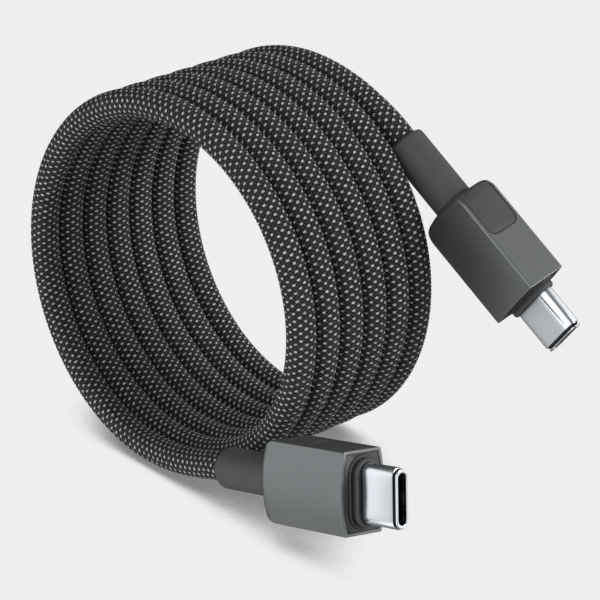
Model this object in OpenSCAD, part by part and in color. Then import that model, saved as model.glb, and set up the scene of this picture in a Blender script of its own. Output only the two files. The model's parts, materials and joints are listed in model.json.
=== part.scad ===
// USB-C charging cable: a braided cable wound into a standing coil, with a plug on each end.
// Millimetres, +Z up. The coil lies on its side: its axis runs along X and it rests on z = 0.
// Each plug is modelled in its own frame: the plug's axis is Y, its tip points to -Y, its wide
// side runs along Z and its front rim lies in the plane y = 0. at_plug() then sets it in place.

/* [Cable] */
// Diameter of the braided cable
cable_d = 4.2; // [3.8:0.1:4.4]

/* [Coil] */
// Radius of the coil, from its axis to the middle of the cable
coil_r = 26; // [25.5:0.1:26.5]
// Distance between neighbouring turns, along the coil's axis
coil_pitch = 4.5; // [4.45:0.01:4.55]
// Whole turns of the coil, before the last half turn that leads to plug b
coil_turns = 6; // [6:1:6]

/* [Plug housing] */
// Width of the housing, across its convex broad sides
housing_w = 11.4; // [11:0.1:12]
// Thickness of the housing along its flat narrow sides
housing_t = 6.6; // [6.4:0.1:7]
// How far each broad side bulges at its middle
housing_bulge = 0.6; // [0.4:0.05:0.8]
// Length of the housing
housing_l = 16.7; // [16:0.1:18]
// Radius of the rear corners, seen on the broad side
rear_corner_r = 2.3; // [1.8:0.1:2.4]
// Thickness of the broad walls
broad_wall = 0.7; // [0.6:0.05:0.8]
// Thickness of the narrow walls, which hold the grip pads
narrow_wall = 0.9; // [0.8:0.05:1]
// Length of the grip pads in the narrow sides
pad_l = 8; // [6:0.5:9]
// Depth of the grip pads
pad_depth = 0.4; // [0.3:0.05:0.45]
// Thickness of the walls at the front, round the nose's plate
rim_wall = 0.3; // [0.25:0.05:0.35]

/* [Strain relief] */
// Diameter of the strain relief outside the housing
relief_d = 5.9; // [5.4:0.1:6]
// Length of the strain relief outside the housing
relief_l = 11.4; // [10:0.1:12]

/* [Connector] */
// Width of the metal shell
shell_w = 8.25; // [8.2:0.01:8.3]
// Thickness of the metal shell
shell_t = 2.4; // [2.36:0.01:2.44]
// Wall of the metal shell
shell_wall = 0.25; // [0.2:0.01:0.28]
// Distance from the housing's rim to the shell's tip
shell_reach = 7.7; // [7.6:0.1:7.9]
// Height of the stepped collar above the housing's rim
collar_h = 1.1; // [1:0.05:1.3]
// Number of contacts in each row
contact_count = 12; // [12:1:12]
// Distance between contacts
contact_pitch = 0.5; // [0.5:0.01:0.5]

/* [Hidden] */
$fn = 48;

// Running gap between pieces that are slid into each other
gap = 0.02;

// Plug placing: where the rim's centre is, then its turns about X, about its own axis and about Z.
// Plug a lies in front of the coil with its nose up; plug b hangs off the last turn.
plug_a_at = [-1.9, -43.2, 12.6];
plug_a_turn = [-14, 11, -2];
plug_b_at = [34, -39.9, 29];
plug_b_turn = [40, -16, 10];

// Middle of the whole part, so that the origin is on the ground under it
middle = [16, -11.8, 0];

// Cable
cable_r = cable_d / 2;
coil_axis_z = coil_r + cable_r;
tube_sides = 10;
lead_step = 20;                 // degrees of the coil between two rings of a lead's tube
lead_a_from = 10;               // degrees from the bottom at which lead a joins the coil
mouth_straight = 3;             // the cable runs straight out of a strain relief for this long
coil_clear = 0.35;              // room around strain relief a, where it passes the first turn

// Housing
rear_wall = 1.2;
rear_edge_r = 0.9;              // radius of the rear corners, seen on the narrow side
cavity_l = housing_l - rear_wall;
pad_w = housing_t - 1;
pad_corner_r = 1.4;
pad_end_z = 3.2;                // the pads stop here on the rear face, short of the strain relief

// Strain relief and cable end
relief_y = housing_l + relief_l;
relief_neck_d = 5;
relief_mouth_r = 0.7;
ferrule_d = 4.9;
ferrule_l = 1.4;
ferrule_y = cavity_l - ferrule_l;
cable_end_y = ferrule_y - 0.3;
bore_d = cable_d + gap;

// Nose: a plate just behind the rim, thinner at the back, and two oval steps in front
nose_sink = 0.12;
nose_front = 1.4;
nose_back = 2.5;
step_h = 0.95;
step_1 = [10, 4.8];
step_2 = [9.2, 3.9];

// Connector
shell_back = 3.5;
lip = 0.35;
mouth = [6.8, 1.4];
insulator_front = -shell_reach + lip + gap;
insulator_back = 0.6;
slot = [7, 0.9];
slot_back = -0.8;
contact_w = 0.25;
contact_t = 0.15;
contact_front = -6.2;
contact_back = 3.2;
latch_t = 0.2;
latch_w = 0.5;
latch_z = 3.3;
latch_front = -6.3;
latch_back = 0.9;
spring_z = 1.7;
spring_w = 1.8;

// Shield can, card and wires
can_front = nose_back + 0.1;
can_back = 13.4;
can_w = 9.3;
can_t = 4.9;
can_wall = 0.2;
card_t = 0.8 - 2 * gap;
card_front = 1;
card_back = 12;
card_neck_w = 7.2;
card_w = 8.4;
wire_front = 10;
power_wire_d = 1;
signal_wire_d = 0.6;

PLUG_NODES = ["housing", "grip_pad_upper", "grip_pad_lower", "nose", "connector_shell", "insulator",
    "contacts_upper", "contacts_lower", "ground_springs", "latch_upper", "latch_lower",
    "shield_can_left", "shield_can_right", "card", "marker_chip", "passives", "power_wires",
    "signal_wires", "inner_mould", "ferrule", "cable_end", "strain_relief"];

// ---- vectors and placing ----

function unit(v) = v / norm(v);
function turn_x(v, a) = [v.x, v.y * cos(a) - v.z * sin(a), v.y * sin(a) + v.z * cos(a)];
function turn_y(v, a) = [v.x * cos(a) + v.z * sin(a), v.y, v.z * cos(a) - v.x * sin(a)];
function turn_z(v, a) = [v.x * cos(a) - v.y * sin(a), v.x * sin(a) + v.y * cos(a), v.z];
// A point of a plug's own frame, as a point of the coil's frame
function plug_point(at, turn, v) = at + turn_z(turn_x(turn_y(v, turn.y), turn.x), turn.z);

module at_plug(at, turn) {
    translate(at - middle) rotate([0, 0, turn.z]) rotate([turn.x, 0, 0]) rotate([0, turn.y, 0])
        children();
}

// ---- outlines: x is the plug's thickness and y its width ----

module oval(size) {
    r = size.y / 2;
    square([size.y, size.x - size.y], center = true);
    for (s = [-1, 1]) translate([0, s * (size.x / 2 - r)]) circle(r);
}

// Flat narrow sides, broad sides that are arcs
module plug_section(w, t) {
    arc_r = (w * w / 4 + housing_bulge * housing_bulge) / (2 * housing_bulge);
    shift = arc_r - t / 2 - housing_bulge;
    intersection() {
        square([t + 2 * housing_bulge, w], center = true);
        translate([shift, 0]) circle(arc_r, $fn = 180);
        translate([-shift, 0]) circle(arc_r, $fn = 180);
    }
}

// Extrudes an outline along the plug's axis, from y0 to y1
module along(y0, y1) translate([0, y1, 0]) rotate([90, 0, 0]) linear_extrude(y1 - y0) children();

// A block w wide and l long with its two rear corners rounded: x is the width, y the length
module rear_rounded(w, l, r) {
    translate([-w / 2, 0]) square([w, l - r]);
    translate([-w / 2 + r, 0]) square([w - 2 * r, l]);
    for (s = [-1, 1]) translate([s * (w / 2 - r), l - r]) circle(r);
}

// The housing's outer shape, made smaller by an inset on its narrow and rear sides
module housing_body(inset = 0) {
    l = housing_l - inset;
    w = housing_w - 2 * inset;
    t = housing_t + 2 * housing_bulge;
    intersection() {
        along(0, l) plug_section(w, housing_t);
        translate([-t, 0, 0]) rotate([90, 0, 90]) linear_extrude(2 * t)
            rotate(-90) rear_rounded(w, l, rear_corner_r - inset);
        translate([0, 0, -w]) linear_extrude(2 * w) rear_rounded(t, l, rear_edge_r);
    }
}

// The room that both grip pads take in the narrow sides and round the rear corners
module pad_room() {
    front = housing_l - pad_l;
    difference() {
        translate([0, 0, -housing_w]) linear_extrude(2 * housing_w) {
            translate([-pad_w / 2, front + pad_corner_r]) square([pad_w, pad_l]);
            translate([-pad_w / 2 + pad_corner_r, front]) square([pad_w - 2 * pad_corner_r, pad_l]);
            for (s = [-1, 1]) translate([s * (pad_w / 2 - pad_corner_r), front + pad_corner_r])
                circle(pad_corner_r);
        }
        housing_body(pad_depth);
        translate([-housing_w, 0, -pad_end_z]) cube([2 * housing_w, 2 * housing_l, 2 * pad_end_z]);
    }
}

// ---- the pieces of a plug ----

module housing() color([0.42, 0.42, 0.43]) difference() {
    housing_body();
    along(-1, nose_front) plug_section(housing_w - 2 * rim_wall, housing_t - 2 * rim_wall);
    along(-1, cavity_l) plug_section(housing_w - 2 * narrow_wall, housing_t - 2 * broad_wall);
    along(cavity_l - 1, housing_l + 1) circle(d = relief_neck_d + gap);
    pad_room();
}

// side is 1 for the upper pad, -1 for the lower
module grip_pad(side) color([0.34, 0.34, 0.35]) intersection() {
    housing_body();
    pad_room();
    translate([-housing_t, 0, side > 0 ? 0 : -housing_w]) cube([2 * housing_t, 2 * housing_l, housing_w]);
}

module nose() color([0.2, 0.21, 0.22]) difference() {
    union() {
        along(nose_sink, nose_front - gap)
            plug_section(housing_w - 2 * rim_wall - gap, housing_t - 2 * rim_wall - gap);
        along(nose_sink, nose_back)
            plug_section(housing_w - 2 * narrow_wall - gap, housing_t - 2 * broad_wall - gap);
        along(step_h - collar_h, nose_front / 2) oval(step_1);
        along(-collar_h, nose_front / 2) oval(step_2);
    }
    along(-collar_h - 1, nose_back + 1) oval([shell_w + gap, shell_t + gap]);
}

module connector_shell() color([0.8, 0.81, 0.83]) difference() {
    along(-shell_reach, shell_back) oval([shell_w, shell_t]);
    along(lip - shell_reach, shell_back + 1) oval([shell_w - 2 * shell_wall, shell_t - 2 * shell_wall]);
    along(-shell_reach - 1, 0) oval(mouth);
}

// The black block inside the shell, with the slot that the socket's tongue fills
module insulator() color([0.06, 0.06, 0.06]) difference() {
    along(insulator_front, insulator_back)
        oval([shell_w - 2 * shell_wall - gap, shell_t - 2 * shell_wall - gap]);
    along(-shell_reach, slot_back) square([slot.y, slot.x], center = true);
    for (side = [-1, 1], i = [0:contact_count - 1]) contact_room(side, i);
    for (side = [-1, 1]) {
        latch_room(side);
        for (z = [-spring_z, spring_z]) spring_room(side, z);
    }
}

function contact_z(i) = (i - (contact_count - 1) / 2) * contact_pitch;

// Groove that one contact lies in
module contact_room(side, i)
    translate([side * (slot.y / 2 + contact_t / 2), 0, contact_z(i)])
        along(contact_front - gap, insulator_back + 1)
            square([contact_t + gap, contact_w + gap], center = true);

// One row of contact blades: side is 1 for the row on +X, -1 for the other
module contacts(side) color([0.85, 0.68, 0.3])
    for (i = [0:contact_count - 1]) translate([side * (slot.y / 2 + contact_t / 2), 0, contact_z(i)])
        along(contact_front, contact_back) square([contact_t, contact_w], center = true);

// Room for a latch arm to spring outwards
module latch_room(side)
    translate([0, 0, side * latch_z]) along(latch_front - gap, insulator_back + 1)
        translate([0, side * 0.05]) square([latch_w + 0.1, latch_t + 0.2], center = true);

// Side latch: a spring arm with a hook that grips the tongue's notch
module latch(side) color([0.7, 0.7, 0.72]) translate([0, 0, side * latch_z]) {
    along(latch_front, latch_back) square([latch_w, latch_t], center = true);
    along(latch_front, latch_front + 0.6)
        translate([0, -side * latch_t]) square([latch_w, latch_t + 0.02], center = true);
}

module spring_room(side, z)
    translate([side * 0.62, 0, z]) along(insulator_front - 1, contact_front - 3 * gap)
        square([0.4, spring_w], center = true);

// Four small leaf springs at the mouth that touch the socket's ground plates
module ground_springs() color([0.7, 0.7, 0.72])
    for (side = [-1, 1], z = [-spring_z, spring_z]) translate([side * 0.62, 0, z])
        along(insulator_front + gap, contact_front - 5 * gap) square([0.3, spring_w - 0.1], center = true);

module can_box(inset) translate([-can_t / 2 + inset, can_front + inset, -can_w / 2 + inset])
    cube([can_t - 2 * inset, can_back - can_front - 2 * inset, can_w - 2 * inset]);

// Half of the folded can round the card: side is 1 for the half on +X
module shield_can(side) color([0.72, 0.73, 0.74]) difference() {
    can_box(0);
    can_box(can_wall);
    along(can_front - 1, can_front + 1) oval([shell_w + gap, shell_t + gap]);
    along(can_back - 1, can_back + 1) circle(d = cable_d - 0.2);
    translate([side > 0 ? -can_t : 0, 0, -can_w]) cube([can_t, 2 * can_back, 2 * can_w]);
}

module card() color([0.07, 0.25, 0.14]) translate([-card_t / 2, 0, 0]) {
    translate([0, card_front, -card_neck_w / 2]) cube([card_t, 3, card_neck_w]);
    translate([0, can_front + can_wall + 1.2, -card_w / 2])
        cube([card_t, card_back - can_front - can_wall - 1.2, card_w]);
}

module marker_chip() color([0.05, 0.05, 0.06]) translate([card_t / 2, 5.2, -1]) cube([0.7, 2.2, 2]);

module passives() color([0.5, 0.42, 0.32]) for (p = [[5.4, 2.2], [5.4, -2.8], [8.1, 2.6], [8.1, -3.2]])
    translate([card_t / 2, p.x, p.y]) cube([0.4, 1, 0.5]);

module power_wires() color([0.6, 0.08, 0.06]) for (z = [-0.8, 0.8])
    translate([card_t / 2 + power_wire_d / 2, 0, z]) along(wire_front, cable_end_y) circle(d = power_wire_d);

module signal_wires() color([0.85, 0.85, 0.82]) for (z = [-0.9, 0, 0.9])
    translate([-card_t / 2 - signal_wire_d / 2, 0, z])
        along(wire_front, cable_end_y) circle(d = signal_wire_d);

// Block moulded round the ferrule, behind the can
module inner_mould() color([0.85, 0.85, 0.82]) difference() {
    along(can_back + gap, cavity_l - gap)
        plug_section(housing_w - 2 * narrow_wall - gap, housing_t - 2 * broad_wall - gap);
    along(can_back - 1, cavity_l + 1) circle(d = ferrule_d + gap);
}

module ferrule() color([0.7, 0.6, 0.35]) difference() {
    along(ferrule_y, ferrule_y + ferrule_l - gap) circle(d = ferrule_d);
    along(ferrule_y - 1, cavity_l + 1) circle(d = bore_d);
}

// The cable inside the strain relief and the ferrule
module cable_end() color([0.16, 0.16, 0.17]) along(cable_end_y, relief_y) circle(d = cable_d);

// A sleeve with a neck in the housing's rear wall and a rounded mouth
module strain_relief() color([0.27, 0.27, 0.28]) difference() {
    union() {
        along(cavity_l, housing_l + 1) circle(d = relief_neck_d);
        translate([0, relief_y, 0]) rotate([90, 0, 0]) rotate_extrude() {
            square([relief_d / 2 - relief_mouth_r, relief_l]);
            translate([0, relief_mouth_r]) square([relief_d / 2, relief_l - relief_mouth_r]);
            translate([relief_d / 2 - relief_mouth_r, relief_mouth_r]) circle(relief_mouth_r);
        }
    }
    along(cavity_l - 1, relief_y + 1) circle(d = bore_d);
}

// ---- the cable ----

// The coil as one ring, as wide as its whole turns; the first turn leaves room for strain relief a
module coil() color([0.16, 0.16, 0.17]) difference() {
    translate([-middle.x, -middle.y, coil_axis_z]) rotate([90, 0, 90]) rotate_extrude()
        translate([coil_r, coil_pitch / 2]) {
            square_l = (coil_turns - 1) * coil_pitch;
            translate([-cable_r, 0]) square([cable_d, square_l]);
            for (x = [0, square_l]) translate([0, x]) circle(cable_r);
        }
    at_plug(plug_a_at, plug_a_turn) along(housing_l, relief_y + 1) circle(d = relief_d + 2 * coil_clear);
}

// A point of the coil, t degrees on from its lowest point under the start
function coil_point(t) =
    [coil_pitch * t / 360, coil_r * sin(t), coil_axis_z - coil_r * cos(t)];

mouth_a = plug_point(plug_a_at, plug_a_turn, [0, relief_y, 0]);
out_a = plug_point(plug_a_at, plug_a_turn, [0, relief_y + mouth_straight, 0]);
mouth_b = plug_point(plug_b_at, plug_b_turn, [0, relief_y, 0]);
out_b = plug_point(plug_b_at, plug_b_turn, [0, relief_y + mouth_straight, 0]);

// Lead a: out of plug a, down to the ground and into the first turn
lead_a_bend = [[-0.7, -10, 4.1], [-0.5, -6, 3.1], [-0.1, -0.8, 2.3]];
lead_a_path = concat([mouth_a, out_a], lead_a_bend,
    [for (t = [lead_a_from:lead_step:190]) coil_point(t)]);

// Lead b: the last half turn, then straighter than the coil, down into plug b
lead_b_bend = [[29.4, -5, 53.6], [29.6, -9.6, 52.3], [29.8, -13.6, 50.5]];
lead_b_path = concat([for (t = [0:lead_step:180]) coil_point(360 * coil_turns + t)],
    lead_b_bend, [out_b, mouth_b]);

// Direction of a path at point i
function heading(path, i) =
    let (last = len(path) - 1)
    unit(path[min(i + 1, last)] - path[max(i - 1, 0)]);

// Points of the ring round point i: one way across is level with the coil's axis
function ring(path, i, r) =
    let (h = heading(path, i), up = unit(cross(h, [1, 0, 0])), side = cross(up, h))
    [for (k = [0:tube_sides - 1]) let (a = 360 * k / tube_sides)
        path[i] + r * (up * cos(a) + side * sin(a))];

module tube(path, r) {
    n = len(path);
    rings = [for (i = [0:n - 1]) each ring(path, i, r)];
    walls = [for (i = [0:n - 2], k = [0:tube_sides - 1]) let (next = (k + 1) % tube_sides)
        [i * tube_sides + k, i * tube_sides + next,
            (i + 1) * tube_sides + next, (i + 1) * tube_sides + k]];
    first = [for (k = [0:tube_sides - 1]) tube_sides - 1 - k];
    last = [for (k = [0:tube_sides - 1]) (n - 1) * tube_sides + k];
    polyhedron(rings, concat(walls, [first], [last]), convexity = 4);
}

module lead_a() color([0.16, 0.16, 0.17]) translate(-middle) tube(lead_a_path, cable_r);
module lead_b() color([0.16, 0.16, 0.17]) translate(-middle) tube(lead_b_path, cable_r);

// ---- the whole part ----

// One piece of a plug, by its name without the side
module plug_piece(name) {
    if (name == "housing") housing();
    if (name == "grip_pad_upper") grip_pad(1);
    if (name == "grip_pad_lower") grip_pad(-1);
    if (name == "nose") nose();
    if (name == "connector_shell") connector_shell();
    if (name == "insulator") insulator();
    if (name == "contacts_upper") contacts(1);
    if (name == "contacts_lower") contacts(-1);
    if (name == "ground_springs") ground_springs();
    if (name == "latch_upper") latch(1);
    if (name == "latch_lower") latch(-1);
    if (name == "shield_can_left") shield_can(-1);
    if (name == "shield_can_right") shield_can(1);
    if (name == "card") card();
    if (name == "marker_chip") marker_chip();
    if (name == "passives") passives();
    if (name == "power_wires") power_wires();
    if (name == "signal_wires") signal_wires();
    if (name == "inner_mould") inner_mould();
    if (name == "ferrule") ferrule();
    if (name == "cable_end") cable_end();
    if (name == "strain_relief") strain_relief();
}

coil();
lead_a();
lead_b();
for (name = PLUG_NODES) {
    at_plug(plug_a_at, plug_a_turn) plug_piece(name);
    at_plug(plug_b_at, plug_b_turn) plug_piece(name);
}
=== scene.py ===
import json
import math

import bmesh
import bpy
import numpy as np
from mathutils import Matrix, Vector


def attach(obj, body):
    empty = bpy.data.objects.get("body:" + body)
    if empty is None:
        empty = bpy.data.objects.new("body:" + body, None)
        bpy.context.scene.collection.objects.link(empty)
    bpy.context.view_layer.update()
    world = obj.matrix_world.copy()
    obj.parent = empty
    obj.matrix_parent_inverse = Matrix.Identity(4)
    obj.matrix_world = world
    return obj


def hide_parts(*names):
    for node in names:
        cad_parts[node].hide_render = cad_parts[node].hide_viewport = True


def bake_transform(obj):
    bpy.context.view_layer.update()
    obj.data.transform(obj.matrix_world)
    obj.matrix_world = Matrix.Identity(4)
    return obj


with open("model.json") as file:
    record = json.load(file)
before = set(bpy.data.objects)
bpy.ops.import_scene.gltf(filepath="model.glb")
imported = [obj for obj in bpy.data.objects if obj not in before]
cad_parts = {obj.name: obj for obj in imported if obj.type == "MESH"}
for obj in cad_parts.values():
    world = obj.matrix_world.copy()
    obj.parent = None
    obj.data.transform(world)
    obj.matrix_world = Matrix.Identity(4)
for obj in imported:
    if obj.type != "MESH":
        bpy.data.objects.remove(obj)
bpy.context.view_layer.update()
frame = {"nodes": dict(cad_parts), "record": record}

MM = 0.001
scene = bpy.context.scene

# ---------------------------------------------------------------- measures, in millimetres
# The CAD model's own, apart from RIM_WALL: the land round the nose is wider in the looks.
CABLE_R = 2.1
COIL_R = 26.0
COIL_PITCH = 4.5
AXIS_Z = COIL_R + CABLE_R
MIDDLE = Vector((16, -11.8, 0))
PLUGS = {
    "a": {"at": Vector((-1.9, -43.2, 12.6)), "turn": (-14, 11, -2)},
    "b": {"at": Vector((34, -39.9, 29)), "turn": (40, -16, 10)},
}
HOUSING_W, HOUSING_T, BULGE, HOUSING_L = 11.4, 6.6, 0.6, 16.7
REAR_R, REAR_EDGE_R = 2.3, 0.9
RIM_WALL, NARROW_WALL, BROAD_WALL, REAR_WALL = 0.45, 0.9, 0.7, 1.2
PAD_W, PAD_L, PAD_R, PAD_DEPTH, PAD_END_Z = 5.6, 8.0, 1.4, 0.4, 3.2
RELIEF_D, RELIEF_L, MOUTH_R = 5.9, 11.4, 0.7
RELIEF_Y = HOUSING_L + RELIEF_L
SHELL_W, SHELL_T, SHELL_REACH = 8.25, 2.4, 7.7
COLLAR_H, STEP_H, NOSE_SINK = 1.1, 0.15, 0.12
STEPS = ((10.0, 4.8), (9.2, 3.9))  # width and thickness of the nose's two oval steps
SHELL_BACK, SHELL_WALL = 3.5, 0.25  # how far the shell reaches into the housing, and its wall
SOCKET_Y, COUNTERBORE = 0.55, 1.4  # floors of the shell's mouth and of the housing's counterbore
NECK_R, NECK_SINK = 2.5, 0.9  # the sleeve's neck in the housing, and how deep it sits
SLEEVE_BORE_R, CABLE_INNER_Y = 2.105, 13.7  # the sleeve's bore; the cable's end inside the housing


def plug_matrix(side):
    """Takes a plug's own frame (millimetres, tip to -Y, wide side along Z) to the row frame (metres)."""
    pitch, roll, yaw = (math.radians(x) for x in PLUGS[side]["turn"])
    turn = Matrix.Rotation(yaw, 4, "Z") @ Matrix.Rotation(pitch, 4, "X") @ Matrix.Rotation(roll, 4, "Y")
    at = Matrix.Translation((PLUGS[side]["at"] - MIDDLE) * MM)
    return at @ turn @ Matrix.Scale(MM, 4)


def plug_point(side, x, y, z):
    """A point of a plug's own frame, in the row frame, in metres."""
    return plug_matrix(side) @ Vector((x, y, z))


# ---------------------------------------------------------------- camera
AIM = Vector((4.01, 3.34, 22.60)) * MM
AZIMUTH, ELEVATION, DISTANCE = -43.9, 23.7, 0.388  # degrees, degrees, metres
SENSOR, LENS = 36, 161.7


def direction_at(azimuth, elevation):
    """The way to an azimuth (0 is the front, 90 the right) and an elevation, both in degrees."""
    a, e = math.radians(azimuth), math.radians(elevation)
    return Vector((math.sin(a) * math.cos(e), -math.cos(a) * math.cos(e), math.sin(e)))


def look_back(obj, towards):
    """Turns a camera or a lamp that stands in a direction so that it looks the other way."""
    obj.rotation_mode = "QUATERNION"
    obj.rotation_quaternion = (-towards).to_track_quat("-Z", "Y")


camera = bpy.data.objects.new("camera", bpy.data.cameras.new("camera"))
scene.collection.objects.link(camera)
camera.data.sensor_width, camera.data.lens = SENSOR, LENS
camera.data.clip_start, camera.data.clip_end = 0.01, 20
to_camera = direction_at(AZIMUTH, ELEVATION)
camera.location = AIM + to_camera * DISTANCE
look_back(camera, to_camera)
scene.camera = camera

# ---------------------------------------------------------------- small helpers


def link(name, mesh, *materials):
    """An object made of the mesh, in the scene."""
    obj = bpy.data.objects.new(name, mesh)
    scene.collection.objects.link(obj)
    for m in materials:
        obj.data.materials.append(m)
    return obj


def mesh_of(name, verts, faces, smooth=True):
    mesh = bpy.data.meshes.new(name)
    mesh.from_pydata([tuple(v) for v in verts], [], [tuple(f) for f in faces])
    mesh.validate()
    if smooth:
        mesh.polygons.foreach_set("use_smooth", [True] * len(mesh.polygons))
    mesh.update()
    return mesh


class Graph:
    """Short ways to build a material's nodes."""

    def __init__(self, name):
        self.material = bpy.data.materials.new(name)
        self.material.use_nodes = True
        self.tree = self.material.node_tree
        self.shader = self.tree.nodes["Principled BSDF"]

    def node(self, kind, **values):
        n = self.tree.nodes.new(kind)
        for key, value in values.items():
            setattr(n, key, value)
        return n

    def put(self, source, target):
        self.tree.links.new(source, target)

    def feed(self, socket, value):
        if isinstance(value, bpy.types.NodeSocket):
            self.put(value, socket)
        else:
            socket.default_value = value

    def math(self, operation, a, b=0.0, c=0.0, clamp=False):
        n = self.node("ShaderNodeMath", operation=operation, use_clamp=clamp)
        for socket, value in zip(n.inputs, (a, b, c)):
            self.feed(socket, value)
        return n.outputs[0]

    def smooth(self, value, low, high, out_low=0.0, out_high=1.0):
        n = self.node("ShaderNodeMapRange", interpolation_type="SMOOTHSTEP")
        for socket, v in zip(n.inputs, (value, low, high, out_low, out_high)):
            self.feed(socket, v)
        return n.outputs[0]

    def mix(self, factor, a, b):
        n = self.node("ShaderNodeMix", data_type="RGBA")
        self.feed(n.inputs[0], factor)
        self.feed(n.inputs[6], a)
        self.feed(n.inputs[7], b)
        return n.outputs[2]

    def noise(self, scale, detail, roughness, vector):
        n = self.node("ShaderNodeTexNoise")
        n.inputs["Scale"].default_value = scale
        n.inputs["Detail"].default_value = detail
        n.inputs["Roughness"].default_value = roughness
        self.put(vector, n.inputs["Vector"])
        return n.outputs[0]

    def object_point(self):
        return self.node("ShaderNodeTexCoord").outputs["Object"]

    def openness(self, reach, samples):
        """1 where nothing stands within reach (metres), and less in corners."""
        n = self.node("ShaderNodeAmbientOcclusion", samples=samples)
        n.inputs["Distance"].default_value = reach
        return n.outputs["AO"]

    def bump(self, height, distance, strength):
        n = self.node("ShaderNodeBump")
        n.inputs["Strength"].default_value = strength
        n.inputs["Distance"].default_value = distance
        self.put(height, n.inputs["Height"])
        return n.outputs[0]

    def set(self, **values):
        """Gives the shader its values; an underscore stands for a space in a socket's name."""
        for key, value in values.items():
            self.feed(self.shader.inputs[key.replace("_", " ")], value)
        return self.material


def grey(value):
    return (value, value, value, 1.0)


# ---------------------------------------------------------------- the cable's route
WINDING = range(10, 2341, 10)  # degrees round the coil's axis, from its lowest point
STRAIGHT = 3  # the cable leaves each sleeve straight for this long
LEAD_A = ((-0.7, -10, 4.1), (-0.5, -6, 3.1), (-0.1, -0.8, 2.3))
LEAD_B = ((29.4, -5, 53.6), (29.6, -9.6, 52.3), (29.8, -13.6, 50.5))


def coil_point(t):
    """The cable's middle t degrees along the winding, in millimetres, before MIDDLE is taken off."""
    a = math.radians(t)
    return Vector((COIL_PITCH * t / 360, COIL_R * math.sin(a), AXIS_Z - COIL_R * math.cos(a)))


def axis_point(side, y):
    """A point of a plug's axis, in the same terms."""
    return plug_point(side, 0, y, 0) / MM + MIDDLE


route = [axis_point("a", RELIEF_Y), axis_point("a", RELIEF_Y + STRAIGHT)]
route += [Vector(p) for p in LEAD_A]
route += [coil_point(t) for t in WINDING]
route += [Vector(p) for p in LEAD_B]
route += [axis_point("b", RELIEF_Y + STRAIGHT), axis_point("b", RELIEF_Y)]
route = [(p - MIDDLE) * MM for p in route]


FINE = 24000  # points from which the even ones are taken


def smooth_line(points, step):
    """Points about step apart on a smooth curve through the given ones."""
    p = np.array([tuple(q) for q in points])
    gaps = np.linalg.norm(np.diff(p, axis=0), axis=1)
    knots = np.concatenate([[0], np.cumsum(gaps)])
    slopes = np.empty_like(p)
    before, after = gaps[:-1, None], gaps[1:, None]
    slopes[1:-1] = (
        (p[1:-1] - p[:-2]) / before * after + (p[2:] - p[1:-1]) / after * before
    ) / (before + after)
    slopes[0], slopes[-1] = (p[1] - p[0]) / gaps[0], (p[-1] - p[-2]) / gaps[-1]
    u = np.linspace(0, knots[-1], FINE)
    i = np.clip(np.searchsorted(knots, u, side="right") - 1, 0, len(gaps) - 1)
    h = gaps[i][:, None]
    x = ((u - knots[i]) / gaps[i])[:, None]
    fine = (
        (2 * x**3 - 3 * x**2 + 1) * p[i]
        + (x**3 - 2 * x**2 + x) * h * slopes[i]
        + (3 * x**2 - 2 * x**3) * p[i + 1]
        + (x**3 - x**2) * h * slopes[i + 1]
    )
    run = np.concatenate([[0], np.cumsum(np.linalg.norm(np.diff(fine, axis=0), axis=1))])
    count = max(2, round(run[-1] / step) + 1)
    at = np.linspace(0, run[-1], count)
    return np.stack([np.interp(at, run, fine[:, k]) for k in range(3)], axis=1)


# ---------------------------------------------------------------- braid
BRAID_COLUMNS = 16  # light yarn floats side by side round the cable
BRAID_PERIOD = 1.086 * MM  # distance between two floats in one column
BRAID_STEP = BRAID_PERIOD / 4  # distance between two rings of the mesh
SIDES = 2 * BRAID_COLUMNS
RELIEF = 0.115 * MM  # depth of the weave
DARK_DEPTH = 0.2  # how deep dark crossings lie below light ones, as a part of RELIEF


def braid_mesh(name, line):
    """A woven tube along the line.

    Its rings and sides fall on the yarns' crossings, which stand up, and on the gaps between them.
    """
    count = len(line)
    tangent = np.gradient(line, axis=0)
    tangent /= np.linalg.norm(tangent, axis=1)[:, None]
    up = np.cross(tangent, [1.0, 0.0, 0.0])
    up /= np.linalg.norm(up, axis=1)[:, None]
    across = np.cross(up, tangent)
    ring = np.arange(count)[:, None]
    side = np.arange(SIDES)[None, :]
    crossing = (ring + side) % 2 == 0
    light = (side % 2 == 0) & (ring % 4 == side % 4)
    depth = np.where(light, 0.0, np.where(crossing, DARK_DEPTH, 1.0)) * RELIEF
    depth[[0, -1], :] = RELIEF
    radius = CABLE_R * MM - depth
    angle = 2 * math.pi * side / SIDES
    verts = (
        line[:, None, :]
        + (radius * np.cos(angle))[:, :, None] * up[:, None, :]
        + (radius * np.sin(angle))[:, :, None] * across[:, None, :]
    ).reshape(-1, 3)
    k = np.arange(SIDES)
    following = (k + 1) % SIDES
    base = (np.arange(count - 1) * SIDES)[:, None]
    corners = [base + k, base + following, base + SIDES + following, base + SIDES + k]
    faces = np.stack(corners, axis=2).reshape(-1, 4)
    mesh = bpy.data.meshes.new(name)
    ends = [list(range(SIDES))[::-1], list(range((count - 1) * SIDES, count * SIDES))]
    mesh.from_pydata(verts.tolist(), [], faces.tolist() + ends)
    mesh.polygons.foreach_set("use_smooth", [True] * len(mesh.polygons))
    # u counts the columns of light floats round the cable, v the floats along it
    uv = mesh.uv_layers.new(name="weave")
    i = np.repeat(np.arange(count - 1), SIDES)
    j = np.tile(k, count - 1)
    u0, u1 = j / 2.0, (j + 1) / 2.0
    v0, v1 = i / 4.0, (i + 1) / 4.0
    sides_uv = np.stack([u0, v0, u1, v0, u1, v1, u0, v1], axis=1).reshape(-1)
    every_uv = np.zeros(len(mesh.loops) * 2)
    every_uv[: len(sides_uv)] = sides_uv
    uv.data.foreach_set("uv", every_uv)
    mesh.update()
    return mesh


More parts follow.
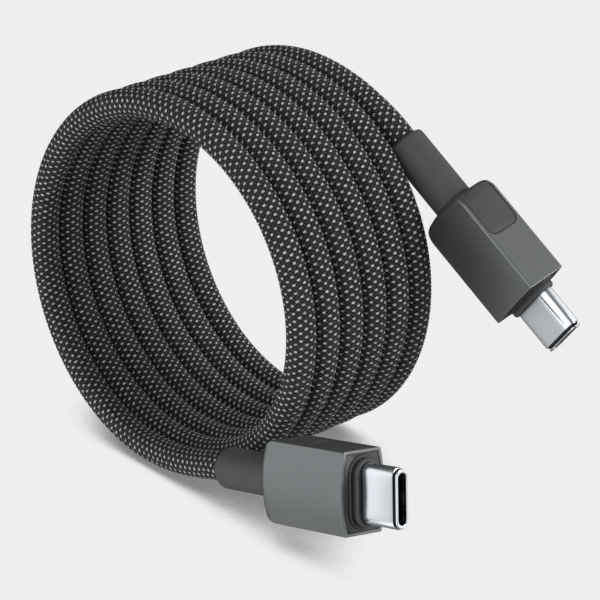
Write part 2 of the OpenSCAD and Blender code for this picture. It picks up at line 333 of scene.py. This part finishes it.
YARN_WANDER = 0.30  # how unevenly the yarns lie
YARN_CORNERS = 2.6  # exponent of a float's outline: 2 is an ellipse, more is squarer
FILAMENTS, FILAMENT_LENGTH = 9.0, 1.6  # noise periods across and along a float
SHADE_SPREAD, SHADE_LEAST = 0.42, 0.76  # brightness from one light float to the next
YARN_BUMP = 0.0004  # metres
DARK_YARN = (0.0105, 0.0115, 0.0120, 1.0), (0.080, 0.086, 0.089, 1.0)
PALE_YARN = (0.40, 0.41, 0.41, 1.0), (0.98, 1.0, 0.99, 1.0)


def braid_material():
    """Two families of yarns that cross, drawn on the mesh's own rows and columns.

    Every second yarn of one family is light where it passes over.
    """
    g = Graph("braid")
    uv = g.node("ShaderNodeUVMap", uv_map="weave").outputs[0]
    split = g.node("ShaderNodeSeparateXYZ")
    g.put(uv, split.inputs[0])
    wobble = g.math("SUBTRACT", g.noise(1.7, 1.0, 0.5, uv), 0.5)
    u = g.math("MULTIPLY_ADD", wobble, YARN_WANDER, split.outputs[0])
    double_v = g.math("MULTIPLY", split.outputs[1], 2.0)
    p, q = g.math("ADD", u, double_v), g.math("SUBTRACT", u, double_v)
    whole_p, whole_q = g.math("ROUND", p), g.math("ROUND", q)
    off_p, off_q = g.math("SUBTRACT", p, whole_p), g.math("SUBTRACT", q, whole_q)
    odd = g.math("FLOORED_MODULO", g.math("ADD", whole_p, whole_q), 2.0)
    odd_p = g.math("FLOORED_MODULO", whole_p, 2.0)
    light = g.math("MULTIPLY", g.math("SUBTRACT", 1.0, odd), g.math("SUBTRACT", 1.0, odd_p))
    # across and along the yarn that lies on top, from -0.5 to 0.5
    swap = g.math("SUBTRACT", off_q, off_p)
    across = g.math("MULTIPLY_ADD", odd, swap, off_p)
    along = g.math("SUBTRACT", off_q, g.math("MULTIPLY", odd, swap))
    wide = g.math("POWER", g.math("ABSOLUTE", g.math("MULTIPLY", across, 2.0)), YARN_CORNERS)
    far = g.math("POWER", g.math("ABSOLUTE", g.math("MULTIPLY", along, 2.0)), YARN_CORNERS)
    # 1 on the middle of a float, 0 in the gaps beside it
    crown = g.math("SUBTRACT", 1.0, wide, clamp=True)
    crown = g.math("MULTIPLY", crown, g.math("MULTIPLY_ADD", far, -0.6, 1.0))
    # filaments run along each yarn; each float has its own shade
    ident = g.node("ShaderNodeCombineXYZ")
    g.put(whole_p, ident.inputs[0])
    g.put(whole_q, ident.inputs[1])
    cell = g.node("ShaderNodeTexWhiteNoise", noise_dimensions="2D")
    g.put(ident.outputs[0], cell.inputs["Vector"])
    fibre_at = g.node("ShaderNodeCombineXYZ")
    elsewhere = g.math("MULTIPLY", cell.outputs[0], 40.0)
    g.put(g.math("MULTIPLY_ADD", across, FILAMENTS, elsewhere), fibre_at.inputs[0])
    g.put(g.math("MULTIPLY", along, FILAMENT_LENGTH), fibre_at.inputs[1])
    threads = g.smooth(g.noise(1.0, 2.0, 0.6, fibre_at.outputs[0]), 0.28, 0.72)
    shade = g.math("MULTIPLY_ADD", cell.outputs[0], SHADE_SPREAD, SHADE_LEAST)
    dark = g.mix(threads, *DARK_YARN)
    # painted shade: each light float is palest on its crown and darker towards its edges
    painted_dome_shade = g.math("MULTIPLY", crown, g.math("MULTIPLY_ADD", threads, 0.35, 0.65))
    pale = g.mix(painted_dome_shade, *PALE_YARN)
    # a light float fades out towards its outline; the gaps between the yarns are painted nearly black as
    # shade, and are dull
    shape = g.math("ADD", g.math("MULTIPLY", wide, 1.25), g.math("MULTIPLY", far, 0.85))
    inside = g.smooth(shape, 0.70, 1.60, 1.0, 0.0)
    fleck = g.math("MULTIPLY", inside, g.math("MULTIPLY", light, shade), clamp=True)
    colour = g.mix(fleck, dark, pale)
    colour = g.mix(g.smooth(crown, 0.12, 0.66, 0.99, 0.0), colour, grey(0.0004))
    rough = g.smooth(crown, 0.15, 0.70, 0.95, 0.45)
    height = g.math("ADD", crown, g.math("MULTIPLY", threads, 0.18))
    normal = g.bump(height, YARN_BUMP, 1.0)
    return g.set(Base_Color=colour, Roughness=rough, Specular_IOR_Level=0.36, Normal=normal)


braid = braid_material()
line = smooth_line(route, BRAID_STEP)
cord = link("braided_cable", braid_mesh("braided_cable", line), braid)
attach(cord, "cord")
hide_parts("coil", "lead_a", "lead_b")

# ---------------------------------------------------------------- plain materials


def satin_metal():
    """Bead-blasted, anodised aluminium: fine even grain, faint cloudiness and slightly paler edges."""
    g = Graph("plug_metal")
    point = g.object_point()
    grain = g.noise(9000.0, 2.0, 0.6, point)
    cloud = g.noise(260.0, 3.0, 0.5, point)
    worn = g.smooth(g.node("ShaderNodeNewGeometry").outputs["Pointiness"], 0.54, 0.62)
    colour = g.mix(cloud, (0.186, 0.192, 0.196, 1.0), (0.213, 0.219, 0.223, 1.0))
    colour = g.mix(g.math("MULTIPLY", worn, 0.35), colour, (0.36, 0.37, 0.38, 1.0))
    rough = g.smooth(grain, 0.3, 0.7, 0.33, 0.41)
    normal = g.bump(grain, 0.000006, 0.5)
    return g.set(Base_Color=colour, Metallic=0.76, Roughness=rough, Specular_IOR_Level=0.4, Normal=normal)


def spread_mix(g, factor, value, spread):
    """The colour, varied by the factor from a spread below it to a spread above it."""
    low, high = [x * (1 - spread) for x in value], [min(x * (1 + spread), 1.0) for x in value]
    return g.mix(factor, (*low, 1.0), (*high, 1.0))


def moulded(name, value, rough, size=5000.0, depth=0.000012, corners=False):
    """Plastic or rubber with a fine grain; corners paints shade on it where other surfaces stand close."""
    g = Graph(name)
    point = g.object_point()
    grain = g.noise(size, 3.0, 0.6, point)
    colour = spread_mix(g, g.noise(300.0, 2.0, 0.5, point), value, 0.12)
    rough_out = g.smooth(grain, 0.25, 0.75, rough - 0.06, rough + 0.06)
    if corners:
        # painted shade: the colour goes nearly black in corners and recesses, where other surfaces stand
        # close
        colour = g.mix(g.smooth(g.openness(2.0 * MM, 12), 0.45, 0.95), grey(0.004), colour)
    normal = g.bump(grain, depth, 0.6)
    return g.set(Base_Color=colour, Roughness=rough_out, Specular_IOR_Level=0.4, Normal=normal)


def metal(name, value, rough, corners=False):
    """Polished or plated metal; corners paints shade on it where other surfaces stand close."""
    g = Graph(name)
    cloud = g.noise(3000.0, 3.0, 0.6, g.object_point())
    colour = spread_mix(g, cloud, value, 0.05)
    rough_out = g.smooth(cloud, 0.3, 0.7, rough - 0.03, rough + 0.03)
    if corners:
        # painted shade: the colour goes dark in corners, grooves and next to the collar, where other
        # surfaces stand close
        colour = g.mix(g.smooth(g.openness(3.0 * MM, 12), 0.50, 0.93), grey(0.012), colour)
    normal = g.bump(cloud, 0.000003, 0.5)
    return g.set(Base_Color=colour, Metallic=1.0, Roughness=rough_out, Normal=normal)


MATERIALS = {
    "plug_metal": satin_metal(),
    "grip_pad": moulded("grip_pad", (0.075, 0.071, 0.077), 0.6),
    # collar and bright_shell carry painted shade in their corners
    "collar": moulded("collar", (0.072, 0.075, 0.078), 0.50, corners=True),
    "bright_shell": metal("bright_shell", (0.76, 0.785, 0.82), 0.17, corners=True),
    "black_insert": moulded("black_insert", (0.010, 0.010, 0.011), 0.5),
    "gold_contacts": metal("gold_contacts", (0.85, 0.62, 0.27), 0.25),
    "spring_steel": metal("spring_steel", (0.60, 0.60, 0.62), 0.3),
    # painted shade: dark_steel is a near-black copy of steel for parts that sit in the shade inside the
    # shell
    "dark_steel": metal("dark_steel", (0.030, 0.030, 0.032), 0.4),
    "shield_can": metal("shield_can", (0.60, 0.61, 0.62), 0.35),
    "card_green": moulded("card_green", (0.020, 0.120, 0.050), 0.4),
    "passives": moulded("passives", (0.350, 0.270, 0.180), 0.5),
    "wire_red": moulded("wire_red", (0.450, 0.020, 0.015), 0.4),
    "wire_white": moulded("wire_white", (0.700, 0.700, 0.680), 0.4),
    "inner_mould": moulded("inner_mould", (0.620, 0.620, 0.580), 0.5),
    "ferrule": metal("ferrule", (0.60, 0.48, 0.25), 0.35),
    "strain_relief": moulded(
        "strain_relief", (0.069, 0.070, 0.073), 0.6, size=4000.0, depth=0.00002,
    ),
    "braid": braid,
}

slot_of = {s["node"]: s["material_slot"] for s in frame["record"]["subparts"]}
for name, obj in frame["nodes"].items():
    obj.data.materials.clear()
    obj.data.materials.append(MATERIALS[slot_of[name]])

# ---------------------------------------------------------------- plug pieces


FLAT_POINTS, CORNER_POINTS, BULGE_POINTS = 10, 7, 22  # in a quarter of the housing's section
OVAL_END, OVAL_SIDE = 20, 8  # points of an oval's half-round ends and flat sides


def outline(w, t, corner):
    """The housing's section, as points (x, z) from the middle of a narrow side.

    Narrow sides are flat, broad sides bulge and corners are rounded. The point count never changes.
    """
    h, half = w / 2, t / 2
    quarter = []
    for i in range(FLAT_POINTS):
        quarter.append((i / FLAT_POINTS * (half - corner), h))
    for i in range(CORNER_POINTS):
        a = math.pi / 2 * i / CORNER_POINTS
        quarter.append((half - corner + corner * math.sin(a), h - corner + corner * math.cos(a)))
    for i in range(BULGE_POINTS + 1):
        z = (h - corner) * (1 - i / BULGE_POINTS)
        quarter.append((half + BULGE * (1 - (z / (h - corner)) ** 2), z))
    right = quarter + [(x, -z) for x, z in quarter[-2::-1]]
    return right + [(-x, z) for x, z in right[-2:0:-1]]


def skin(name, verts, n, around=False):
    """A mesh over rings of n points each. around joins the last to the first, else the ends are closed."""
    rings = len(verts) // n
    faces = []
    for s in range(rings if around else rings - 1):
        t = (s + 1) % rings
        for k in range(n):
            m = (k + 1) % n
            faces.append((s * n + k, s * n + m, t * n + m, t * n + k))
    if not around:
        faces.append(tuple(range(n))[::-1])
        faces.append(tuple((rings - 1) * n + k for k in range(n)))
    return outwards(mesh_of(name, verts, faces))


def loft(name, sections, around=False):
    """A skin over sections given as (y, [(x, z), ...])."""
    return skin(name, [(x, y, z) for y, ring in sections for x, z in ring], len(sections[0][1]), around)


def outwards(mesh):
    """Turns every face outwards."""
    work = bmesh.new()
    work.from_mesh(mesh)
    bmesh.ops.recalc_face_normals(work, faces=work.faces)
    work.to_mesh(mesh)
    work.free()
    return mesh


def place(mesh, side):
    """Moves a mesh from a plug's own frame to the row frame."""
    mesh.transform(plug_matrix(side))
    mesh.update()
    return mesh


def finish_plug_piece(obj, side, body_piece):
    """Makes a piece ride on its plug, in place of the CAD node."""
    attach(obj, "plug_" + side)
    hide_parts(f"{body_piece}_{side}")
    return obj


def cut_out(mesh, cutters):
    """The mesh with the cutters' shapes removed."""
    body = link("cut_body", mesh)
    for cutter in cutters:
        tool = link("cut_tool", cutter)
        change = body.modifiers.new("cut", "BOOLEAN")
        change.operation, change.solver, change.object = "DIFFERENCE", "EXACT", tool
        bpy.context.view_layer.update()
        graph = bpy.context.evaluated_depsgraph_get()
        result = bpy.data.meshes.new_from_object(body.evaluated_get(graph))
        body.modifiers.clear()
        body.data = result
        bpy.data.objects.remove(tool)
    result = body.data
    bpy.data.objects.remove(body)
    return result


def sharp_by_angle(mesh, degrees):
    """Smooth shading with hard edges where the surface turns by more than the angle."""
    work = bmesh.new()
    work.from_mesh(mesh)
    for e in work.edges:
        e.smooth = not (len(e.link_faces) == 2 and e.calc_face_angle(0) > math.radians(degrees))
    for f in work.faces:
        f.smooth = True
    work.to_mesh(mesh)
    work.free()
    mesh.update()


EDGE = 0.30  # rounding of the housing's long edges
RIM = 0.10  # rounding of the rim at the front
GROOVE = 0.13  # gap round a grip pad
FIT = 0.03  # clearance between fitted pieces
RELIEF_SIDES = 56  # points round the sleeve


def housing_mesh(name):
    """The outside from rim to rear, the strain relief's hole, the inside and the front's counterbore."""
    sections = []
    for a in np.linspace(0, math.pi / 2, 5):
        shrink = 2 * RIM * (1 - math.sin(a))
        ring = outline(HOUSING_W - shrink, HOUSING_T - shrink, EDGE)
        sections.append((RIM * (1 - math.cos(a)), ring))
    # a section close behind the rounding keeps the shading of the long faces flat
    for y in (RIM + 0.06, *np.linspace(RIM, HOUSING_L - REAR_R, 12)[1:]):
        sections.append((float(y), outline(HOUSING_W, HOUSING_T, EDGE)))
    for a in np.linspace(0, math.pi / 2, 16)[1:]:
        y = HOUSING_L - REAR_R + REAR_R * math.sin(a)
        side_in = REAR_R * (1 - math.cos(a))
        over = y - (HOUSING_L - REAR_EDGE_R)
        broad_in = REAR_EDGE_R - math.sqrt(max(REAR_EDGE_R**2 - over**2, 0)) if over > 0 else 0.0
        sections.append((y, outline(HOUSING_W - 2 * side_in, HOUSING_T - 2 * broad_in, EDGE)))
    angles = [math.atan2(x, z) for x, z in sections[-1][1]]
    hole = [((NECK_R + FIT) * math.sin(a), (NECK_R + FIT) * math.cos(a)) for a in angles]
    inner = outline(HOUSING_W - 2 * NARROW_WALL, HOUSING_T - 2 * BROAD_WALL, 0.12)
    mouth_w, mouth_t = HOUSING_W - 2 * RIM_WALL, HOUSING_T - 2 * RIM_WALL
    wide, chamfer = outline(mouth_w, mouth_t, 0.16), outline(mouth_w + 0.1, mouth_t + 0.1, 0.2)
    sections += [(HOUSING_L, hole), (HOUSING_L - REAR_WALL, hole), (HOUSING_L - REAR_WALL, inner)]
    sections += [(COUNTERBORE, inner), (COUNTERBORE, wide), (0.05, wide), (0.0, chamfer)]
    return loft(name, sections, around=True)


def pad_line(inset):
    """Distances along a grip pad, from its front end to its rear end, both drawn in by an inset."""
    straight = PAD_L - REAR_R
    spots = [inset + (PAD_R - inset) * (1 - math.cos(a)) for a in np.linspace(0, math.pi / 2, 9)]
    spots += [float(x) for x in np.linspace(PAD_R, straight, 5)[1:]]
    turn = REAR_R * math.pi / 2
    spots += [straight + turn * k / 14 for k in range(1, 15)]
    spots.append(straight + turn + HOUSING_W / 2 - REAR_R - PAD_END_Z - inset)
    return spots


def pad_spot(s, lift):
    """The point s along a pad's middle, lifted off the housing's surface, as (y, z)."""
    straight, turn = PAD_L - REAR_R, REAR_R * math.pi / 2
    front, top = HOUSING_L - PAD_L, HOUSING_W / 2
    if s <= straight:
        return front + s, top + lift
    if s <= straight + turn:
        a = (s - straight) / REAR_R
        r = REAR_R + lift
        return front + straight + r * math.sin(a), top - REAR_R + r * math.cos(a)
    return HOUSING_L + lift, top - REAR_R - (s - straight - turn)


def pad_half(s, inset):
    """Half the width of a pad's outline, made smaller by an inset, s along it."""
    if s >= PAD_R:
        return PAD_W / 2 - inset
    r = PAD_R - inset
    return PAD_W / 2 - PAD_R + math.sqrt(max(r * r - (PAD_R - s) ** 2, 0.0))


def pad_solid(name, sign, inset, levels):
    """A pad, or the pocket that it sits in. sign is 1 for the upper one and -1 for the lower one.

    levels are (further inset, lift) from its foot to its top, so the ends slope like the sides.
    """
    spots = pad_line(inset)
    verts = []
    for s in spots:
        half_ring = []
        for more, lift in levels:
            at = min(max(s, spots[0] + more), spots[-1] - more)
            y, z = pad_spot(at, lift)
            half_ring.append((pad_half(max(at, inset + more), inset + more), y, sign * z))
        verts += half_ring + [(-x, y, z) for x, y, z in half_ring[::-1]]
    return skin(name, verts, 2 * len(levels))


def oval(w, t):
    """Flat sides and half-round ends, as points (x, z)."""
    r = t / 2
    points = []
    for sign, turned in ((1, 0), (-1, math.pi)):
        for i in range(OVAL_END + 1):
            a = turned + math.pi * i / OVAL_END
            points.append((r * math.cos(a), sign * (w / 2 - r) + r * math.sin(a)))
        for i in range(1, OVAL_SIDE):
            points.append((-sign * r, sign * (w / 2 - r) * (1 - 2 * i / OVAL_SIDE)))
    return points


def shell_mesh(name):
    """The metal tube, with a rounded lip at its mouth and a groove behind that."""
    front = -SHELL_REACH
    # the mouth's funnel, as (distance behind the front, width, thickness)
    funnel = ((0.30, 6.85, 1.40), (0.12, 6.87, 1.42), (0.03, 6.93, 1.48), (0.0, 7.03, 1.57))
    sections = [(SOCKET_Y, oval(*funnel[0][1:]))]
    sections += [(front + y, oval(w, t)) for y, w, t in funnel]
    # the outside of lip and groove, as (distance behind the front, depth below the shell's surface)
    lip_r, lip_in = 0.12, 0.16
    quarter = np.linspace(0, math.pi / 2, 6)
    outside = [(lip_r * (1 - math.cos(a)), lip_in + lip_r * (1 - math.sin(a))) for a in quarter]
    outside += [(0.18, lip_in), (0.20, 0.20)]
    outside += [(0.21, 0.40), (0.60, 0.40), (0.61, 0.12), (0.65, 0.03), (0.73, 0.0)]
    sections += [(front + y, oval(SHELL_W - 2 * depth, SHELL_T - 2 * depth)) for y, depth in outside]
    sections += [(y, oval(SHELL_W, SHELL_T)) for y in (1.0, SHELL_BACK)]
    bore = oval(SHELL_W - 2 * SHELL_WALL, SHELL_T - 2 * SHELL_WALL)
    sections += [(SHELL_BACK, bore), (SOCKET_Y, bore)]
    return loft(name, sections, around=True)


def collar_mesh(name):
    """The plate just behind the rim with two soft-edged oval steps, round the shell's hole."""
    width, depth = HOUSING_W - 2 * RIM_WALL - FIT, HOUSING_T - 2 * RIM_WALL - FIT
    plate = [(COUNTERBORE - 0.02, outline(width, depth, 0.16))]
    plate += [(NOSE_SINK + 0.04, outline(width, depth, 0.16))]
    plate += [(NOSE_SINK, outline(width - 0.08, depth - 0.08, 0.16))]
    steps = []
    # foot, front and rounding of each step
    heights = ((NOSE_SINK - 0.01, -STEP_H, 0.14), (-STEP_H, -COLLAR_H, 0.35))
    for (y_foot, y_front, soft), (w, t) in zip(heights, STEPS):
        steps.append((y_foot, w, t))
        for a in np.linspace(0, math.pi / 2, 6):
            shrink = soft * (1 - math.cos(a))
            steps.append((y_front + soft * (1 - math.sin(a)), w - 2 * shrink, t - 2 * shrink))
    hole, back = (SHELL_W + 2 * FIT, SHELL_T + 2 * FIT), COUNTERBORE - 0.1
    steps += [(-COLLAR_H, *hole), (back, *hole), (back, *STEPS[0])]
    mesh = loft(name, plate)
    upper = loft(name + "_steps", [(y, oval(w, t)) for y, w, t in steps], around=True)
    work = bmesh.new()
    work.from_mesh(mesh)
    work.from_mesh(upper)
    work.to_mesh(mesh)
    work.free()
    bpy.data.meshes.remove(upper)
    return mesh


def relief_mesh(name, side):
    """The sleeve that the cable comes out of: a slim neck ring, a straight body and a rounded mouth."""
    r, inner_end, bore_mouth = RELIEF_D / 2, HOUSING_L - NECK_SINK, RELIEF_Y - 0.05
    profile = [(inner_end, NECK_R), (HOUSING_L - 0.02, NECK_R)]
    profile += [(HOUSING_L + 0.02, r - 0.12), (HOUSING_L + 0.14, r)]
    profile += [(float(y), r) for y in np.linspace(HOUSING_L + 0.14, RELIEF_Y - MOUTH_R, 22)[1:]]
    for a in np.linspace(0, math.pi / 2, 8)[1:-1]:
        back, out = MOUTH_R * (1 - math.sin(a)), MOUTH_R * (1 - math.cos(a))
        profile.append((RELIEF_Y - back, r - out))
    profile += [(RELIEF_Y, SLEEVE_BORE_R + 0.035), (bore_mouth, SLEEVE_BORE_R)]
    profile += [(float(y), SLEEVE_BORE_R) for y in np.linspace(bore_mouth, inner_end, 22)[1:]]
    angles = [2 * math.pi * k / RELIEF_SIDES for k in range(RELIEF_SIDES)]
    verts = [(rad * math.cos(a), y, rad * math.sin(a)) for y, rad in profile for a in angles]
    mesh = skin(name, verts, RELIEF_SIDES, around=True)
    sharp_by_angle(mesh, 50)
    return place(mesh, side)


# (further inset, lift): a pocket's straight cut out through the surface, and a pad with a soft upper edge
POCKET_LEVELS = ((0.0, -PAD_DEPTH), (0.0, 0.7))
PAD_LEVELS = ((0.0, -PAD_DEPTH), (0.0, -0.10), (0.03, -0.03), (0.10, 0.0))

with_plug_b = []
for side in "ab":
    pockets = [pad_solid("pocket", sign, 0.0, POCKET_LEVELS) for sign in (1, -1)]
    case = cut_out(housing_mesh(f"plug_housing_{side}"), pockets)
    housing = link(f"plug_housing_{side}", place(case, side), MATERIALS["plug_metal"])
    sharp_by_angle(housing.data, 35)
    finish_plug_piece(housing, side, "housing")
    pads = []
    for sign, which in ((1, "upper"), (-1, "lower")):
        name = f"grip_insert_{which}_{side}"
        pad = link(name, place(pad_solid(name, sign, GROOVE, PAD_LEVELS), side), MATERIALS["grip_pad"])
        sharp_by_angle(pad.data, 60)
        pads.append(finish_plug_piece(pad, side, f"grip_pad_{which}"))
    name = f"usb_shell_{side}"
    shell = link(name, place(shell_mesh(name), side), MATERIALS["bright_shell"])
    sharp_by_angle(shell.data, 45)
    finish_plug_piece(shell, side, "connector_shell")
    name = f"stepped_collar_{side}"
    collar = link(name, place(collar_mesh(name), side), MATERIALS["collar"])
    sharp_by_angle(collar.data, 40)
    finish_plug_piece(collar, side, "nose")
    name = f"relief_sleeve_{side}"
    relief = link(name, relief_mesh(name, side), MATERIALS["strain_relief"])
    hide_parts(f"strain_relief_{side}")
    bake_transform(relief)
    # the cable inside the sleeve
    ends = [plug_point(side, 0, y, 0) for y in (CABLE_INNER_Y, RELIEF_Y)]
    name = f"cable_in_sleeve_{side}"
    stub = link(name, braid_mesh(name, smooth_line(ends, BRAID_STEP)), braid)
    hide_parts(f"cable_end_{side}")
    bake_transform(stub)
    if side == "b":
        with_plug_b += [housing, *pads, shell, collar, relief, stub]

INNER_NODES = (
    "insulator", "contacts_upper", "contacts_lower", "ground_springs", "latch_upper", "latch_lower",
    "shield_can_left", "shield_can_right", "card", "marker_chip", "passives",
    "power_wires", "signal_wires", "inner_mould", "ferrule",
)
with_plug_b += [frame["nodes"][f"{n}_b"] for n in INNER_NODES]

# ---------------------------------------------------------------- floor and light
BACKDROP = 0.860  # level of the floor, and of the surroundings where the camera sees them
FLOOR_HALF = 3  # metres
SHADOW_REACH, SHADOW_LEAST = 0.022, 0.27


def floor_material():
    """Pale and evenly lit, with a painted shadow where the object stands close over it."""
    g = Graph("floor")
    # painted shadow: the floor's glow is dimmed where the object stands close over it
    shade = g.smooth(g.openness(SHADOW_REACH, 16), 0.32, 0.62, SHADOW_LEAST, 1.0)
    glow = g.node("ShaderNodeEmission")
    g.put(g.mix(shade, grey(0.0), grey(BACKDROP)), glow.inputs["Color"])
    g.put(glow.outputs[0], g.tree.nodes["Material Output"].inputs[0])
    g.tree.nodes.remove(g.shader)
    return g.material


floor_corners = [(x * FLOOR_HALF, y * FLOOR_HALF, 0) for x, y in ((-1, -1), (1, -1), (1, 1), (-1, 1))]
floor = link("floor", mesh_of("floor", floor_corners, [(0, 1, 2, 3)], smooth=False), floor_material())
floor.visible_diffuse = floor.visible_glossy = floor.visible_shadow = False

world = bpy.data.worlds.new("studio")
scene.world = world
world.use_nodes = True
tree = world.node_tree


def world_node(kind, operation=None, *values):
    """A node of the surroundings; values are its first inputs, as numbers, vectors or other outputs."""
    n = tree.nodes.new(kind)
    if operation:
        n.operation = operation
    for socket, value in zip(n.inputs, values):
        if isinstance(value, bpy.types.NodeSocket):
            tree.links.new(value, socket)
        else:
            socket.default_value = value
    return n


direction = tree.nodes.new("ShaderNodeTexCoord").outputs["Generated"]


def lobe(towards, inner, outer, value):
    """A soft round light of the surroundings: full within the inner angle, gone beyond the outer one."""
    middle = Vector(towards).normalized()
    dot = world_node("ShaderNodeVectorMath", "DOT_PRODUCT", direction, middle).outputs["Value"]
    edge, full = math.cos(math.radians(outer)), math.cos(math.radians(inner))
    n = world_node("ShaderNodeMapRange", None, dot, edge, full, 0.0, value)
    n.interpolation_type = "SMOOTHSTEP"
    return n.outputs[0]


BASE_LIGHT = 0.22
TINT = (0.970, 0.992, 1.0, 1)
# direction, inner and outer angle in degrees, strength
LIGHTS = (
    ((0.20, -0.30, 0.93), 20, 75, 0.02),  # overhead
    ((-0.60, 0.79, 0.10), 16, 37, 0.95),  # low, behind on the left
    ((-0.31, 0.62, -0.72), 8, 23, 0.20),  # bounce from the ground there
    ((-0.80, 0.08, -0.60), 12, 36, 1.25),  # bounce from the ground on the left
    ((-0.88, -0.36, 0.30), 10, 46, 1.45),  # on the left
    ((0.80, -0.60, 0.15), 14, 52, 0.95),  # large, on the right
    ((0.97, 0.24, 0.16), 8, 24, 1.1),  # edge light from the right
)
DARK = ((0.52, 0.84, 0.04), 38, 60, 0.96)  # behind: takes this part of all the light away
total = BASE_LIGHT
for light in LIGHTS:
    total = world_node("ShaderNodeMath", "ADD", lobe(*light), total).outputs[0]
kept = world_node("ShaderNodeMath", "SUBTRACT", 1.0, lobe(*DARK)).outputs[0]
total = world_node("ShaderNodeMath", "MULTIPLY", total, kept).outputs[0]
seen = tree.nodes.new("ShaderNodeLightPath").outputs["Is Camera Ray"]
strength = world_node("ShaderNodeMix", None)
tree.links.new(seen, strength.inputs[0])
tree.links.new(total, strength.inputs[2])
strength.inputs[3].default_value = BACKDROP
background = tree.nodes["Background"]
background.inputs[0].default_value = TINT
tree.links.new(strength.outputs[0], background.inputs[1])


def sun(name, azimuth, elevation, energy, width):
    """A distant lamp at an azimuth and elevation; width is its apparent size in degrees."""
    lamp = bpy.data.lights.new(name, "SUN")
    lamp.energy = energy
    lamp.angle = math.radians(width)
    obj = bpy.data.objects.new(name, lamp)
    scene.collection.objects.link(obj)
    obj.location = direction_at(azimuth, elevation)
    look_back(obj, obj.location)


sun("key", 26, 26, 1.25, 15)
sun("edge", 124, 38, 0.3, 20)
scene.view_settings.view_transform = "Standard"
